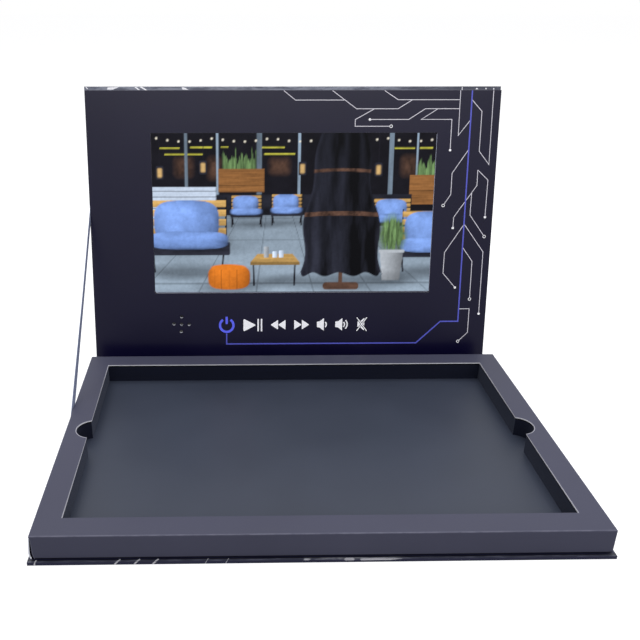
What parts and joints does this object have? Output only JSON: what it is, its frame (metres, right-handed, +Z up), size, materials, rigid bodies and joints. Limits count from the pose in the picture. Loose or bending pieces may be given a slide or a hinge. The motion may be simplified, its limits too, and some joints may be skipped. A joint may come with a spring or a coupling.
{
  "type": "video gift box",
  "caption": "Book-style gift box with a notched tray, a screen with printed keys in the hinged lid, and a stay ribbon at one side.",
  "frame": {"origin": "middle of the tray, on the underside of the base board, where the box rests", "axes": "+X to the viewer's right, +Y back to the hinges and the lid, +Z up"},
  "size_m": [0.3238, 0.2884, 0.2158],
  "materials": {
    "printed_paper": "satin",
    "lining_paper": "matte",
    "greyboard": "matte",
    "printed_card": "matte",
    "foam": "matte",
    "floor_card": "matte",
    "magnet": "satin",
    "bezel_steel": "satin",
    "screen_glass": "gloss",
    "light_guide": "gloss",
    "circuit_board": "satin",
    "chip_plastic": "matte",
    "connector_plastic": "satin",
    "flat_cable": "satin",
    "wire": "satin",
    "battery_foil": "satin",
    "speaker_plastic": "satin",
    "key_plastic": "matte",
    "ribbon": "satin"
  },
  "bodies": {
    "base": {"base_board": "greyboard", "base_wrap": "printed_paper", "base_lining": "lining_paper", "base_hinge_paper": "printed_paper", "tray_bottom_board": "greyboard", "tray_floor_sheet": "floor_card", "tray_foam_frame": "foam", "tray_cover_card": "printed_card", "tray_switch_magnet": "magnet", "stay_ribbon_lower": "ribbon"},
    "spine": {"spine_board": "greyboard", "spine_wrap": "printed_paper", "spine_lining": "lining_paper", "lid_hinge_paper": "printed_paper"},
    "lid": {"battery_cell": "battery_foil", "battery_leads": "wire", "battery_pad": "foam", "battery_plug": "connector_plastic", "battery_protection_board": "circuit_board", "cable_clamps": "connector_plastic", "charging_socket": "bezel_steel", "key_board": "circuit_board", "key_cable": "flat_cable", "key_switch_bodies": "chip_plastic", "key_switch_domes": "bezel_steel", "lid_board": "greyboard", "lid_lining": "lining_paper", "lid_sensor": "chip_plastic", "lid_wrap": "printed_paper", "main_board": "circuit_board", "main_board_chips": "chip_plastic", "module_face_card": "printed_card", "module_foam_frame": "foam", "power_coil_and_capacitors": "chip_plastic", "screen_back_shell": "bezel_steel", "screen_backing_pads": "foam", "screen_bezel": "bezel_steel", "screen_cable": "flat_cable", "screen_driver_board": "circuit_board", "screen_glass": "screen_glass", "screen_light_guide": "light_guide", "speaker_cone": "speaker_plastic", "speaker_frame": "speaker_plastic", "speaker_gasket": "foam", "speaker_leads": "wire", "speaker_magnet": "magnet", "stay_ribbon_upper": "ribbon", "storage_chip": "chip_plastic"},
    "power_key": {"power_key": "key_plastic"},
    "play_key": {"play_key": "key_plastic"},
    "rewind_key": {"rewind_key": "key_plastic"},
    "forward_key": {"forward_key": "key_plastic"},
    "volume_down_key": {"volume_down_key": "key_plastic"},
    "volume_up_key": {"volume_up_key": "key_plastic"},
    "mute_key": {"mute_key": "key_plastic"}
  },
  "joints": [
    {"name": "spine_hinge", "type": "hinge", "parent": "base", "child": "spine", "pos_m": [0, 0.1092, 0], "axis": [1, 0, 0], "range_deg": [0, 90], "deforming": ["base_hinge_paper", "stay_ribbon_lower"]},
    {"name": "lid_hinge", "type": "hinge", "parent": "spine", "child": "lid", "pos_m": [0, 0.1376, 0], "axis": [1, 0, 0], "range_deg": [0, 11], "deforming": ["lid_hinge_paper", "stay_ribbon_upper"]},
    {"name": "power_press", "type": "slide", "parent": "lid", "child": "power_key", "axis": [0, 0.9816, -0.1908], "range_m": [0, 0.0003], "stiffness_N_per_m": 2500, "springref_m": -0.0002},
    {"name": "play_press", "type": "slide", "parent": "lid", "child": "play_key", "axis": [0, 0.9816, -0.1908], "range_m": [0, 0.0003], "stiffness_N_per_m": 2500, "springref_m": -0.0002},
    {"name": "rewind_press", "type": "slide", "parent": "lid", "child": "rewind_key", "axis": [0, 0.9816, -0.1908], "range_m": [0, 0.0003], "stiffness_N_per_m": 2500, "springref_m": -0.0002},
    {"name": "forward_press", "type": "slide", "parent": "lid", "child": "forward_key", "axis": [0, 0.9816, -0.1908], "range_m": [0, 0.0003], "stiffness_N_per_m": 2500, "springref_m": -0.0002},
    {"name": "volume_down_press", "type": "slide", "parent": "lid", "child": "volume_down_key", "axis": [0, 0.9816, -0.1908], "range_m": [0, 0.0003], "stiffness_N_per_m": 2500, "springref_m": -0.0002},
    {"name": "volume_up_press", "type": "slide", "parent": "lid", "child": "volume_up_key", "axis": [0, 0.9816, -0.1908], "range_m": [0, 0.0003], "stiffness_N_per_m": 2500, "springref_m": -0.0002},
    {"name": "mute_press", "type": "slide", "parent": "lid", "child": "mute_key", "axis": [0, 0.9816, -0.1908], "range_m": [0, 0.0003], "stiffness_N_per_m": 2500, "springref_m": -0.0002}
  ]
}
